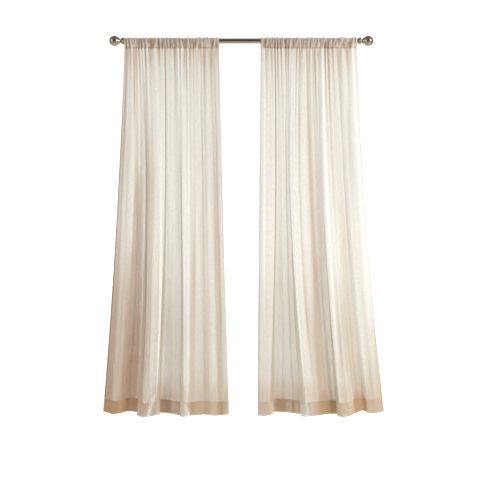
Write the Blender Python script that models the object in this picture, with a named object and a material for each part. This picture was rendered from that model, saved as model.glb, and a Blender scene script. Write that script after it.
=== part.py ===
"""A pair of sheer voile curtains on a slim metal rod with ball finials.

Each panel is one cloth: it is turned back over the rod and sewn below it into a pocket, gathered
along the rod, and it falls in uneven folds that spread towards the hem.
The origin is on the rod's axis at mid-length. +X runs along the rod, -Y faces the room, +Z is up.
"""

import math
from collections import namedtuple

import bmesh
import bpy
from mathutils import Vector

MM = 0.001

# The drop is the panel's finished length, and most other heights follow from it.
DROP = 2120 * MM
POCKET_RISE = 22 * MM
STITCH_BELOW_AXIS = 38 * MM
HEM_Z = POCKET_RISE - DROP
STITCH_Z = -STITCH_BELOW_AXIS
FALL = STITCH_Z - HEM_Z
WAIST_SHARE = 0.55

# The rod is a thin tube, and each finial plugs into one end of it.
ROD_RADIUS = 14 * MM
ROD_WALL = 1 * MM
ROD_HALF_LENGTH = 660 * MM
SEAT_GAP = 0.3 * MM
ROUND_STEPS = 24

# A finial, outwards from the rod's end: plug, bead, waist, cup and ball.
PLUG_LENGTH = 20 * MM
BEAD_CENTRE = 7.5 * MM
BEAD_HALF_WIDTH = 7 * MM
BEAD_ROOT_RADIUS = 14 * MM
BEAD_RADIUS = 19.5 * MM
WAIST_CENTRE = 19 * MM
WAIST_HALF_WIDTH = 3 * MM
WAIST_RADIUS = 9 * MM
CUP_LIP = 2 * MM
CUP_ROOT_RADIUS = 13.5 * MM
BALL_CENTRE = 54 * MM
BALL_RADIUS = 28.5 * MM
BALL_NECK_RADIUS = 19.5 * MM
BEAD_POINTS = 6
BALL_POINTS = 11

# The cloth, and the gathers that the pocket pushes it into.
CLOTH = 1.6 * MM
ROD_CLEARANCE = 0.6 * MM
GATHERS = 19
STEPS_PER_GATHER = 4
POCKET_STEPS = 11
GATHER_HEIGHT = 7 * MM
GATHER_DEPTH = 6 * MM
RIPPLE_DEPTH = 2 * MM
GATHER_FADE = 300 * MM
STITCH_Y = -3 * MM
# The share of the pocket's way round that lies flat between the stitching and the rod, each side.
POCKET_FLAT = 0.24

# Waves that make the gathers' widths and heights uneven. rate is in turns of the wave.
Wave = namedtuple("Wave", "size rate start")

SPACING_WAVES = (Wave(0.011, 3.3, 0), Wave(0.006, 7.1, 1))
SIZE_WAVES = (Wave(0.16, 0.37, 0), Wave(0.08, 1.13, 2))
MEAN_GATHER = 0.76

# Rows of the fall, as shares of it, closer together where the gathers open out.
FALL_ROWS = (0.02, 0.06, 0.13, 0.24, 0.38, 0.54, 0.70, 0.85, 0.963, 1.0)

# A row for each turn of the cloth across a panel, in millimetres: its place along the rod at the
# pocket, its place and depth at the waist and at the hem, and how far the hem sags there. Where
# hem_x steps back, the cloth passes behind or in front of the fold beside it.
Turn = namedtuple("Turn", "pocket_x waist_x waist_y hem_x hem_y sag")

LEFT_TURNS = (
    Turn(-657, -715, 18, -785, 38, -5),
    Turn(-635, -670, -8, -724, 6, 4),
    Turn(-610, -626, -4, -680, 14, 0),
    Turn(-584, -585, 16, -632, 28, -5),
    Turn(-559, -533, 14, -568, 20, 2),
    Turn(-551, -541, -8, -584, -15, 8),
    Turn(-525, -509, -30, -533, -52, 7),
    Turn(-497, -480, -22, -504, -42, 4),
    Turn(-471, -454, -28, -476, -47, -2),
    Turn(-452, -440, -8, -458, -15, -2),
    Turn(-434, -439, 12, -483, 20, 0),
    Turn(-413, -409, 12, -427, 24, 2),
    Turn(-379, -368, 4, -368, 2, 7),
    Turn(-348, -331, -4, -322, -6, 9),
    Turn(-339, -337, -16, -343, -28, 6),
    Turn(-317, -314, -28, -323, -52, 5),
    Turn(-275, -264, -20, -263, -34, 1),
    Turn(-230, -213, -10, -203, -18, 1),
    Turn(-190, -170, -15, -152, -27, 5),
    Turn(-157, -131, -8, -108, -16, 4),
    Turn(-125, -96, -14, -69, -24, 0),
)
RIGHT_TURNS = (
    Turn(109, 97, -18, 91, -42, 0),
    Turn(131, 127, -26, 120, -50, 2),
    Turn(156, 161, -20, 157, -40, -1),
    Turn(176, 187, -6, 181, -8, -4),
    Turn(187, 190, 10, 163, 24, -4),
    Turn(207, 218, 16, 215, 42, 0),
    Turn(229, 246, 10, 265, 24, 0),
    Turn(252, 271, 2, 315, 8, 3),
    Turn(266, 290, 2, 370, 0, 2),
    Turn(284, 284, -16, 336, -26, 4),
    Turn(304, 300, -32, 358, -52, 6),
    Turn(325, 334, -22, 404, -44, 2),
    Turn(359, 381, -8, 451, -24, 1),
    Turn(392, 427, 6, 500, -4, 0),
    Turn(423, 474, 0, 553, -8, 2),
    Turn(432, 471, -12, 536, -28, 4),
    Turn(452, 489, -30, 560, -50, 7),
    Turn(480, 526, -22, 605, -38, 4),
    Turn(505, 561, 0, 645, -2, -4),
    Turn(533, 598, 18, 689, 30, -10),
    Turn(567, 632, 6, 721, 18, 1),
    Turn(609, 675, 6, 765, 18, 1),
    Turn(650, 717, 20, 812, 44, -3),
)

CREAM = (0.82, 0.74, 0.64, 1.0)
NICKEL = (0.62, 0.58, 0.52, 1.0)


def clear_scene():
    for old in list(bpy.data.objects):
        bpy.data.objects.remove(old, do_unlink=True)


def material(name, colour, roughness, metallic):
    made = bpy.data.materials.new(name)
    made.use_nodes = True
    shader = made.node_tree.nodes["Principled BSDF"]
    shader.inputs["Base Color"].default_value = colour
    shader.inputs["Roughness"].default_value = roughness
    shader.inputs["Metallic"].default_value = metallic
    return made


def place(name, mesh, finish):
    made = bpy.data.objects.new(name, mesh)
    made.data.materials.append(finish)
    bpy.context.scene.collection.objects.link(made)
    return made


def turned(name, profile, closed):
    """A mesh spun about the X axis from (x, radius) points. closed joins the last point to the first."""
    shape = bmesh.new()
    points = [shape.verts.new((x, 0, radius)) for x, radius in profile]
    ends = points[1:] + points[:1] if closed else points[1:]
    edges = [shape.edges.new(pair) for pair in zip(points, ends)]
    bmesh.ops.spin(
        shape,
        geom=points + edges,
        cent=(0, 0, 0),
        axis=(1, 0, 0),
        angle=math.tau,
        steps=ROUND_STEPS,
        use_merge=True,
    )
    bmesh.ops.remove_doubles(shape, verts=shape.verts, dist=0.01 * MM)
    bmesh.ops.recalc_face_normals(shape, faces=shape.faces)
    mesh = bpy.data.meshes.new(name)
    shape.to_mesh(mesh)
    shape.free()
    mesh.shade_smooth()
    mesh.set_sharp_from_angle(angle=math.radians(40))
    return mesh


def rod(finish):
    inner = ROD_RADIUS - ROD_WALL
    section = [
        (-ROD_HALF_LENGTH, inner),
        (-ROD_HALF_LENGTH, ROD_RADIUS),
        (ROD_HALF_LENGTH, ROD_RADIUS),
        (ROD_HALF_LENGTH, inner),
    ]
    return place("rod_tube", turned("rod_tube", section, closed=True), finish)


def finial_profile():
    """(distance out from the rod's end, radius) points, from the plug's end to the ball's tip."""
    plug = ROD_RADIUS - ROD_WALL - SEAT_GAP
    points = [(-PLUG_LENGTH, 0), (-PLUG_LENGTH, plug), (SEAT_GAP, plug)]
    for i in range(BEAD_POINTS + 1):
        angle = math.pi * (1 - i / BEAD_POINTS)
        rise = (BEAD_RADIUS - BEAD_ROOT_RADIUS) * math.sin(angle)
        points.append((BEAD_CENTRE + BEAD_HALF_WIDTH * math.cos(angle), BEAD_ROOT_RADIUS + rise))
    cup = WAIST_CENTRE + WAIST_HALF_WIDTH
    points.append((WAIST_CENTRE - WAIST_HALF_WIDTH / 2, WAIST_RADIUS))
    points.append((cup, WAIST_RADIUS))
    points.append((cup, CUP_ROOT_RADIUS - CUP_LIP / 2))
    points.append((cup + CUP_LIP / 2, CUP_ROOT_RADIUS))
    neck = math.asin(BALL_NECK_RADIUS / BALL_RADIUS)
    for i in range(BALL_POINTS + 1):
        angle = neck + (math.pi - neck) * i / BALL_POINTS
        radius = BALL_RADIUS * math.sin(angle) if i < BALL_POINTS else 0
        points.append((BALL_CENTRE - BALL_RADIUS * math.cos(angle), radius))
    return points


def finial(name, side, finish):
    """side is -1 for the left end and 1 for the right."""
    profile = [(side * (ROD_HALF_LENGTH + out), radius) for out, radius in finial_profile()]
    return place(name, turned(name, profile, closed=False), finish)


def waves(table, angle):
    return sum(wave.size * math.sin(wave.rate * angle + wave.start) for wave in table)


def uneven(share):
    """The cloth's share after as many gathers, so that no two gathers take up the same width."""
    fade = 4 * share * (1 - share)
    return share + waves(SPACING_WAVES, math.tau * share) * fade


def gather_size(phase):
    """How full a gather is beside the fullest."""
    return MEAN_GATHER + waves(SIZE_WAVES, phase)


def turn_at(turn, share):
    """One turn's place at a share of the fall, on the parabola through its three heights. z is how
    far the cloth sags there."""
    at_pocket = (share - WAIST_SHARE) * (share - 1) / WAIST_SHARE
    at_waist = share * (share - 1) / (WAIST_SHARE * (WAIST_SHARE - 1))
    at_hem = share * (share - WAIST_SHARE) / (1 - WAIST_SHARE)
    x = at_pocket * turn.pocket_x + at_waist * turn.waist_x + at_hem * turn.hem_x
    y = at_pocket * STITCH_Y / MM + at_waist * turn.waist_y + at_hem * turn.hem_y
    return Vector((x * MM, y * MM, -turn.sag * share * MM))


def cloth_shares(turns):
    """How far across the cloth each turn lies, from 0 to 1, measured along the hem."""
    hem = [turn_at(turn, 1) for turn in turns]
    along = [0]
    for before, after in zip(hem, hem[1:]):
        along.append(along[-1] + (after - before).length)
    return [length / along[-1] for length in along]


def slope(points, shares, i):
    low, high = max(i - 1, 0), min(i + 1, len(points) - 1)
    return (points[high] - points[low]) / (shares[high] - shares[low])


def across(points, shares, share):
    """(place, slope) on the smooth curve through the turns at one height."""
    last = len(shares) - 2
    i = next((k for k in range(last) if share < shares[k + 1]), last)
    width = shares[i + 1] - shares[i]
    t = (share - shares[i]) / width
    a, b = points[i], points[i + 1]
    ta, tb = slope(points, shares, i) * width, slope(points, shares, i + 1) * width
    place_there = (
        a * (2 * t**3 - 3 * t**2 + 1)
        + ta * (t**3 - 2 * t**2 + t)
        + b * (3 * t**2 - 2 * t**3)
        + tb * (t**3 - t**2)
    )
    slope_there = (
        a * (6 * t**2 - 6 * t)
        + ta * (3 * t**2 - 4 * t + 1)
        + b * (6 * t - 6 * t**2)
        + tb * (3 * t**2 - 2 * t)
    )
    return place_there, slope_there


def ridge_depth(fall_share):
    """How far a gather's ridge stands out of the fold that it rides on, below the pocket."""
    below = fall_share * FALL
    return RIPPLE_DEPTH + (GATHER_DEPTH - RIPPLE_DEPTH) * math.exp(-below / GATHER_FADE)


def fall_point(turns, shares, column, fall_share):
    """A point of the hanging cloth. fall_share is 0 at the pocket's stitching and 1 at the hem."""
    phase, share = column
    points = [turn_at(turn, fall_share) for turn in turns]
    spot, way = across(points, shares, share)
    out = Vector((way.y, -way.x, 0)).normalized()
    depth = ridge_depth(fall_share) * gather_size(phase) * math.sin(phase)
    return spot + out * depth + Vector((0, 0, STITCH_Z - fall_share * FALL))


def pocket_point(stitch, column, share):
    """A point of the pocket, at a share of the way round the rod from the stitching's back."""
    phase, _ = column
    reach = ROD_RADIUS + ROD_CLEARANCE + CLOTH / 2
    leave = math.acos(reach / STITCH_BELOW_AXIS)
    held = min(max(share, POCKET_FLAT), 1 - POCKET_FLAT)
    angle = leave + (math.tau - 2 * leave) * (held - POCKET_FLAT) / (1 - 2 * POCKET_FLAT)
    fullness = 0.5 + 0.5 * math.sin(phase + math.pi * (1 - share))
    out = reach + GATHER_HEIGHT * gather_size(phase) * fullness
    edge = Vector((stitch.x, out * math.sin(angle), -out * math.cos(angle)))
    return stitch.lerp(edge, min(share, 1 - share, POCKET_FLAT) / POCKET_FLAT)


def panel(name, turns, finish):
    """One cloth with its pocket, hung and gathered, as a sheet given its thickness."""
    shares = cloth_shares(turns)
    steps = GATHERS * STEPS_PER_GATHER
    columns = [(math.tau * GATHERS * k / steps, uneven(k / steps)) for k in range(steps + 1)]
    rounds = [(i + 1) / (POCKET_STEPS + 1) for i in range(POCKET_STEPS)]
    shape = bmesh.new()
    lines = []
    for column in columns:
        stitch = fall_point(turns, shares, column, 0)
        seam = shape.verts.new(stitch)
        loop = [shape.verts.new(pocket_point(stitch, column, share)) for share in rounds]
        fall = [shape.verts.new(fall_point(turns, shares, column, row)) for row in FALL_ROWS]
        lines.append([seam, *loop, seam, *fall])
    for left, right in zip(lines, lines[1:]):
        for i in range(len(left) - 1):
            shape.faces.new((left[i], left[i + 1], right[i + 1], right[i]))
    mesh = bpy.data.meshes.new(name)
    shape.to_mesh(mesh)
    shape.free()
    mesh.shade_smooth()
    made = place(name, mesh, finish)
    thickness = made.modifiers.new("cloth_thickness", "SOLIDIFY")
    thickness.solidify_mode = "NON_MANIFOLD"
    thickness.nonmanifold_thickness_mode = "FIXED"
    thickness.nonmanifold_merge_threshold = 0.00001
    thickness.thickness = CLOTH
    thickness.offset = 0
    return made


def main():
    clear_scene()
    voile = material("cream_voile", CREAM, roughness=0.9, metallic=0.0)
    nickel = material("satin_nickel", NICKEL, roughness=0.3, metallic=1.0)
    rod(nickel)
    finial("finial_left", -1, nickel)
    finial("finial_right", 1, nickel)
    panel("panel_left", LEFT_TURNS, voile)
    panel("panel_right", RIGHT_TURNS, voile)


main()
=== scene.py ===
"""A pair of sheer voile curtains on a slim nickel rod, dressed over the loaded frame.

Each panel is one sheet of voile with its real rod pocket, turned hem and side hems. It hangs in the
folds of the frame's solids, with finer gathers, creases and crinkles of its own.
"""

import math
from collections import namedtuple

import bmesh
import bpy
import numpy as np
from mathutils import Matrix, Vector


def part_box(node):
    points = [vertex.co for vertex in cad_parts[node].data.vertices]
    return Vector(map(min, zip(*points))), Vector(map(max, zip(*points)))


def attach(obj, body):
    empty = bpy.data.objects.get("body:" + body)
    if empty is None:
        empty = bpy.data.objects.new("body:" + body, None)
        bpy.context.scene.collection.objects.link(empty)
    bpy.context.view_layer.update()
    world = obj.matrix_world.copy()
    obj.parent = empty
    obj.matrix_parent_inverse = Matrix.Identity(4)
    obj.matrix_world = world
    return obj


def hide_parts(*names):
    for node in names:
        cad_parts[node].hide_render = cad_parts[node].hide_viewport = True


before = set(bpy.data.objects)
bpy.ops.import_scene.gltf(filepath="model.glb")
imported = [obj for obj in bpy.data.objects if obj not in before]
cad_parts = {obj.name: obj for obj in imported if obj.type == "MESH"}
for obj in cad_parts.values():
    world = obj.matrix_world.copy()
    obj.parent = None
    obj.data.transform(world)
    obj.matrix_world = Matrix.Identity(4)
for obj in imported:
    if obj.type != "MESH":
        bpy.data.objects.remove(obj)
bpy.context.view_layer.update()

bl_info = {
    "name": "Sheer Voile Curtain Pair",
    "version": (1, 0, 0),
    "blender": (4, 5, 0),
    "location": "3D View > Sidebar > Curtain",
    "description": "Hangs two sheer rod-pocket panels on a nickel rod and sets them in a pale studio",
    "category": "Object",
}

MM = 0.001

# The frame's own sizes.
ROD_LOW, ROD_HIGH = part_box("rod_tube")
ROD_RADIUS = (ROD_HIGH[2] - ROD_LOW[2]) / 2
ROD_HALF_LENGTH = (ROD_HIGH[0] - ROD_LOW[0]) / 2

# The photograph's frame: how much one pixel covers at the rod, and where the rod's middle is in it.
PHOTO_PIXELS = 480
METRES_PER_PIXEL = 5.63 * MM
ROD_MIDDLE_PIXEL = (241.3, 41.0)

# The cloth's path: it leaves the rod's pocket at the stitching and falls to the hem.
STITCH_Z = -38 * MM
STITCH_Y = -3 * MM
FALL = 2060 * MM
HEM_Z = STITCH_Z - FALL
WAIST_SHARE = 0.55
POCKET_FLAT = 0.24
SOLID_CLOTH = 1.6 * MM
ROD_CLEARANCE = 0.6 * MM

# The gathers that the pocket pushes the cloth into.
GATHERS = 19
GATHER_HEIGHT = 3 * MM
GATHER_DEPTH = 6 * MM
RIPPLE_DEPTH = 1.8 * MM
GATHER_FADE = 300 * MM
WIDE_GATHER, NARROW_GATHER = 15 * MM, 8 * MM
# The size of the patches of painted shade in the pocket's hollows.
POCKET_HOLLOW = 13 * MM
CRUMPLE_HEIGHT = 2.2 * MM
# How far below the stitching the small gathers and the ridges drop from their full height, how far
# down the small gathers fade and the crinkles grow, and how far above the hem the crinkles calm down.
GATHER_DROP = 15 * MM
RIDGE_DROP = 12 * MM
SMALL_GATHER_FADE = 110 * MM
CRINKLE_GROWTH = 250 * MM
HEM_CALM = 50 * MM

# Waves that make the gathers' widths and heights uneven. rate is in turns of the wave.
Wave = namedtuple("Wave", "size rate start")

SPACING_WAVES = (Wave(0.011, 3.3, 0), Wave(0.006, 7.1, 1))
SIZE_WAVES = (Wave(0.16, 0.37, 0), Wave(0.08, 1.13, 2))
MEAN_GATHER = 0.76


def table(kind, *rows):
    """Rows of numbers as named tuples of one kind."""
    return tuple(kind(*row) for row in rows)


# A row for each turn of the cloth across a panel, in millimetres: its place along the rod at the
# pocket, its place and depth at the waist and at the hem, and how far the hem sags there. Where
# hem_x steps back, the cloth passes behind or in front of the fold beside it.
Turn = namedtuple("Turn", "pocket_x waist_x waist_y hem_x hem_y sag")

LEFT_TURNS = table(
    Turn,
    (-657, -715, 18, -785, 38, -5),
    (-635, -670, -8, -724, 6, 4),
    (-610, -626, -4, -680, 14, 0),
    (-584, -585, 16, -632, 28, -5),
    (-559, -533, 14, -568, 20, 2),
    (-551, -541, -8, -584, -15, 8),
    (-525, -509, -30, -533, -52, 7),
    (-497, -480, -22, -504, -42, 4),
    (-471, -454, -28, -476, -47, -2),
    (-452, -440, -8, -458, -15, -2),
    (-434, -439, 12, -483, 20, 0),
    (-413, -409, 12, -427, 24, 2),
    (-379, -368, 4, -368, 2, 7),
    (-348, -331, -4, -322, -6, 9),
    (-339, -337, -16, -343, -28, 6),
    (-317, -314, -28, -323, -52, 5),
    (-275, -264, -20, -263, -34, 1),
    (-230, -213, -10, -203, -18, 1),
    (-190, -170, -15, -152, -27, 5),
    (-157, -131, -8, -108, -16, 4),
    (-125, -96, -14, -69, -24, 0),
)
RIGHT_TURNS = table(
    Turn,
    (109, 97, -18, 91, -42, 0),
    (131, 127, -26, 120, -50, 2),
    (156, 161, -20, 157, -40, -1),
    (176, 187, -6, 181, -8, -4),
    (187, 190, 10, 163, 24, -4),
    (207, 218, 16, 215, 42, 0),
    (229, 246, 10, 265, 24, 0),
    (252, 271, 2, 315, 8, 3),
    (266, 290, 2, 370, 0, 2),
    (284, 284, -16, 336, -26, 4),
    (304, 300, -32, 358, -52, 6),
    (325, 334, -22, 404, -44, 2),
    (359, 381, -8, 451, -24, 1),
    (392, 427, 6, 500, -4, 0),
    (423, 474, 0, 553, -8, 2),
    (432, 471, -12, 536, -28, 4),
    (452, 489, -30, 560, -50, 7),
    (480, 526, -22, 605, -38, 4),
    (505, 561, 0, 645, -2, -4),
    (533, 598, 18, 689, 30, -10),
    (567, 632, 6, 721, 18, 1),
    (609, 675, 6, 765, 18, 1),
    (650, 717, 20, 812, 44, -3),
)

# Crinkles pressed into the voile: ridges so far apart across it and so long down it.
Crinkle = namedtuple("Crinkle", "across along height")

CRINKLES = (
    Crinkle(34 * MM, 1100 * MM, 1.5 * MM),
    Crinkle(17 * MM, 700 * MM, 0.9 * MM),
    Crinkle(9 * MM, 420 * MM, 0.45 * MM),
)

# The creases that show in the cloth: where each lies across the panel, how wide it is in the flat
# cloth and how far it stands out, or in where that is negative, in millimetres, how much painted
# shade it puts on the cloth, drawing it denser, darker and warmer, or how much lighter it paints
# it as a highlight where that is negative, the shares of the fall that it starts and ends at, the
# shares that it takes to grow and to fade, and how fast it leans across the panel below its start.
Crease = namedtuple("Crease", "share width height tint start end grow fade lean", defaults=(0.10, 0.20, 0.0))

LEFT_CREASES = table(
    Crease,
    (0.030, 60, 0.0, 0.22, -0.1, 0.50, 0.10, 0.30),
    (0.940, 70, 0.0, 0.16, -0.1, 0.75, 0.10, 0.30),
    (0.052, 13, -3.5, 0.22, -0.1, 0.35),
    (0.095, 17, 3.0, 0.12, -0.1, 1.2),
    (0.070, 80, 0.0, 0.28, 0.02, 1.12, 0.40),
    (0.055, 66, 0.0, 0.26, 0.42, 1.3, 0.30),
    (0.004, 16, 0.0, 0.45, 0.55, 1.3, 0.20),
    (0.130, 11, -4.5, 0.26, -0.1, 0.30),
    (0.166, 24, -4.5, 0.32, 0.20, 1.3, 0.36),
    (0.152, 36, -2.5, 0.32, 0.32, 1.3, 0.25),
    (0.158, 42, -1.0, 0.40, 0.50, 1.3, 0.22),
    (0.222, 11, 3.0, -0.06, -0.1, 0.60),
    (0.330, 42, 0.0, 0.60, 0.02, 1.05, 0.40),
    (0.292, 8, -2.6, 0.08, 0.05, 0.90),
    (0.326, 8, 2.0, -0.04, 0.30, 1.3, 0.30),
    (0.352, 6, -2.2, 0.10, 0.30, 1.3, 0.30),
    (0.374, 7, 3.4, -0.10, 0.35, 1.3, 0.30),
    (0.396, 6, -2.6, 0.12, 0.20, 1.3, 0.30),
    (0.418, 8, 3.2, -0.14, 0.10, 0.95, 0.25),
    (0.400, 9, 3.0, -0.75, 0.93, 1.3, 0.04, 0.20, -0.60),
    (0.500, 14, -2.8, 0.08, -0.1, 1.3),
    (0.568, 20, 3.0, -0.06, -0.1, 0.60),
    (0.652, 13, -3.2, 0.08, 0.05, 0.90, 0.30),
    (0.694, 8, 3.0, -0.16, -0.1, 0.25),
    (0.718, 6, -3.6, 0.20, -0.1, 0.20),
    (0.748, 14, 4.0, -0.12, 0.08, 1.3, 0.30),
    (0.722, 13, 3.0, -0.30, 0.80, 1.3, 0.12),
    (0.690, 14, 4.0, -0.80, 0.93, 1.3, 0.04, 0.20, 1.00),
    (0.795, 8, -2.2, 0.06, -0.1, 0.75),
    (0.858, 8, -2.8, 0.08, -0.1, 0.70),
    (0.780, 38, 0.0, 0.26, 0.25, 1.15, 0.40),
    (0.945, 38, 0.0, 0.18, 0.25, 1.15, 0.40),
    (0.868, 34, 0.0, 0.05, 0.50, 0.98, 0.30, 0.06),
    (0.520, 46, 0.0, -0.28, 0.70, 0.96, 0.25, 0.04),
    (0.260, 20, 0.0, -0.70, -0.1, 0.75, 0.10, 0.30),
    (0.466, 16, 0.0, -0.30, -0.1, 1.0, 0.10, 0.10),
    (0.680, 14, 0.0, -0.30, 0.15, 0.92, 0.25, 0.10),
    (0.913, 18, 2.0, 0.0, 0.10, 0.60),
    (0.965, 8, -2.2, 0.08, -0.1, 0.90),
    (1.000, 14, 0.0, -0.50, -0.1, 1.3),
)
RIGHT_CREASES = table(
    Crease,
    (0.000, 14, 0.0, -0.50, -0.1, 1.3),
    (0.030, 8, 2.6, -0.10, -0.1, 0.90),
    (0.050, 44, 0.0, 0.26, 0.45, 1.1, 0.30),
    (0.072, 9, -2.6, 0.10, 0.05, 0.50),
    (0.210, 60, 0.0, -0.20, 0.60, 0.97, 0.25, 0.04),
    (0.345, 26, 0.0, -0.36, 0.60, 0.97, 0.25, 0.04),
    (0.530, 38, 0.0, 0.26, 0.50, 1.3, 0.30),
    (0.445, 20, 2.0, -0.36, 0.92, 1.3, 0.05),
    (0.565, 26, 0.0, 0.30, 0.92, 1.3, 0.05),
    (0.112, 9, 3.0, -0.16, -0.1, 0.30),
    (0.150, 9, -3.6, 0.16, -0.1, 1.3),
    (0.200, 10, -2.8, 0.12, -0.1, 0.25),
    (0.236, 10, 2.4, -0.08, 0.10, 0.80),
    (0.288, 10, -3.6, 0.18, 0.05, 1.3, 0.25),
    (0.420, 14, 5.0, -0.28, -0.1, 1.3),
    (0.500, 9, -2.6, 0.10, 0.10, 0.90),
    (0.580, 24, -3.0, 0.14, -0.04, 0.80, 0.35),
    (0.640, 40, -1.0, -0.26, 0.55, 0.97, 0.25, 0.04),
    (0.628, 7, -3.4, 0.18, -0.1, 0.25),
    (0.710, 13, 5.0, -0.32, -0.1, 0.90, 0.25),
    (0.740, 44, 0.0, 0.29, 0.55, 1.05, 0.25),
    (0.775, 13, -3.6, 0.18, -0.1, 0.60),
    (0.790, 44, -1.0, 0.22, 0.45, 0.97, 0.35, 0.05),
    (0.866, 9, 2.6, -0.08, 0.05, 0.70),
    (0.880, 32, 0.0, -0.26, 0.50, 0.97, 0.25, 0.04),
    (0.820, 30, 0.0, 0.34, 0.92, 1.3, 0.05),
    (0.916, 13, -3.2, 0.14, 0.10, 0.50),
    (0.975, 30, 2.0, -0.30, -0.1, 0.85),
    (0.940, 60, 0.0, 0.30, 0.72, 1.1, 0.20),
    (1.000, 14, 0.0, -0.50, -0.1, 1.3),
)

# The pinched ridges of the gathered pocket: where each meets the stitching, its width in the flat
# cloth and its height in millimetres, how far it leans across the panel on its way to the top of the
# rod, and how many millimetres it runs on below the stitching.
Ridge = namedtuple("Ridge", "share width height lean reach")

LEFT_RIDGES = table(
    Ridge,
    (0.012, 7, 4.0, 0.004, 60),
    (0.052, 7, 6.0, 0.012, 90),
    (0.108, 9, 8.0, -0.018, 130),
    (0.142, 8, 6.0, 0.010, 80),
    (0.262, 8, 7.5, -0.006, 60),
    (0.336, 8, 7.0, -0.020, 110),
    (0.388, 6, 4.5, 0.020, 50),
    (0.446, 8, 6.0, -0.012, 90),
    (0.500, 9, 7.5, 0.012, 70),
    (0.560, 8, 7.0, -0.014, 120),
    (0.648, 8, 6.5, 0.008, 60),
    (0.704, 9, 8.0, -0.018, 150),
    (0.744, 7, 6.0, 0.014, 70),
    (0.826, 9, 8.0, 0.022, 90),
    (0.872, 7, 5.5, -0.010, 60),
    (0.926, 8, 7.0, -0.016, 120),
    (0.962, 7, 6.0, 0.010, 80),
    (0.992, 6, 4.0, 0.0, 60),
)
RIGHT_RIDGES = table(
    Ridge,
    (0.010, 7, 4.0, 0.0, 60),
    (0.046, 7, 7.0, 0.010, 100),
    (0.092, 7, 6.5, -0.008, 60),
    (0.128, 8, 7.5, -0.014, 150),
    (0.170, 7, 5.5, 0.016, 60),
    (0.214, 7, 6.0, -0.010, 70),
    (0.262, 8, 8.0, 0.006, 130),
    (0.338, 7, 6.0, -0.012, 70),
    (0.384, 7, 6.5, 0.014, 110),
    (0.452, 7, 6.5, 0.020, 60),
    (0.500, 7, 4.5, -0.016, 60),
    (0.566, 8, 7.5, 0.004, 140),
    (0.622, 9, 8.0, -0.020, 160),
    (0.680, 7, 6.5, -0.014, 90),
    (0.722, 8, 7.5, 0.010, 140),
    (0.790, 7, 5.5, 0.022, 60),
    (0.842, 7, 6.5, 0.012, 70),
    (0.882, 8, 7.0, 0.018, 120),
    (0.936, 7, 6.0, -0.016, 80),
    (0.962, 7, 6.5, 0.014, 110),
    (0.992, 6, 4.0, 0.0, 60),
)

PanelPlan = namedtuple("PanelPlan", "name node turns creases ridges seed")

PANELS = (
    PanelPlan("voile_left", "panel_left", LEFT_TURNS, LEFT_CREASES, LEFT_RIDGES, 11),
    PanelPlan("voile_right", "panel_right", RIGHT_TURNS, RIGHT_CREASES, RIGHT_RIDGES, 23),
)
CLOTH_MAP = "cloth_plan"
# The valley attribute paints shade: each point's depth behind the folds beside it, with the creases' and the
# pocket's painted shade and highlights added.
SHADE_ATTRIBUTE = "valley"
DOUBLED = "doubled"
# How far across a panel a valley is told from its crests, with the weight of each distance, and how
# deep a full valley is beside that distance, in metres.
VALLEY_REACHES = ((0.28, 0.65), (0.09, 0.45), (0.03, 0.45))
VALLEY_DEPTH = 0.45
# The least painted shade any part of the hem gets, so that none of it looks as light as a crest
# unless a crease paints a highlight there.
HEM_LEVEL = 0.36
# The height at which a ridge of the pocket gets its full painted highlight, and how far below the
# stitching the pocket's painted shade and highlights fade.
RIDGE_HIGHLIGHT_HEIGHT = 6 * MM
POCKET_SHADE_FADE = 100 * MM
# The sheet's columns between its side edges, the shortest and longest steps between its rows, the
# longest step within the hem, and how far below the stitching the pocket's seam allowance begins.
MAIN_COLUMNS = 620
ROW_STEPS = (2 * MM, 27 * MM)
HEM_STEPS = (2 * MM, 11 * MM)
SEAM_ALLOWANCE = 4 * MM
# How many layers a side hem is set back by, and the share of the way round the rod over which the
# pocket's back layers part from their places at the seam.
SIDE_HEM_LAYERS = 3
SEAM_RISE = 0.2

# The weave's spacing, and the distances down the cloth, in metres, over which it gets denser towards
# its lower end and just above the hem, and over which the hem begins.
WEAVE_PITCH = 1.3 * MM
LOW_CLOTH = (1.0, 2.3)
ABOVE_HEM = (2.02, 2.14)
HEM_BAND = (2.0, 2.1)
# About what the slubs, streaks and clouds add to the cover between them, and how much of the voile's
# light comes through it from behind.
UNEVEN_COVER = 0.09
THROUGH_LIGHT = 0.15

# The studio's sheet of paper, in metres: half its width, where it ends in front of the rod, how high
# it stands and the radius of its bend. Its glow grows from front to back over the first pair of
# places, and fades over the second pair of distances from the curtains' middle line.
PAPER_HALF_WIDTH = 7.5
PAPER_FRONT = -7.5
PAPER_HEIGHT = 6.5
PAPER_BEND = 0.9
GLOW_GROWS = (-0.7, 0.15)
GLOW_FADES = (4.2, 5.4)

# The air's colour, and its strength from the camera's side and from all round, with the directions'
# Y between which the one turns into the other.
AIR_TONE = (1, 0.99, 0.97, 1)
AIR_STRENGTH = (0.12, 0.34)
AIR_TURN = (-0.97, -0.72)

Lamp = namedtuple("Lamp", "name place size watts tone")

LAMPS = (
    Lamp("left_light", (-4.4, -2.9, 0.3), (1.5, 3.0), 60, (1, 0.98, 0.95)),
    Lamp("right_light", (3.4, -2.4, 0.5), (1.2, 2.6), 116, (1, 1, 1)),
)


def metres(name, description, default):
    return bpy.props.FloatProperty(
        name=name, description=description, default=default, subtype="DISTANCE", unit="LENGTH"
    )


def amount(name, description, default):
    return bpy.props.FloatProperty(
        name=name, description=description, default=default, min=0, max=1, subtype="FACTOR"
    )


def colour(name, description, default):
    return bpy.props.FloatVectorProperty(
        name=name, description=description, default=default, min=0, max=1, size=3, subtype="COLOR"
    )


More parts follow.
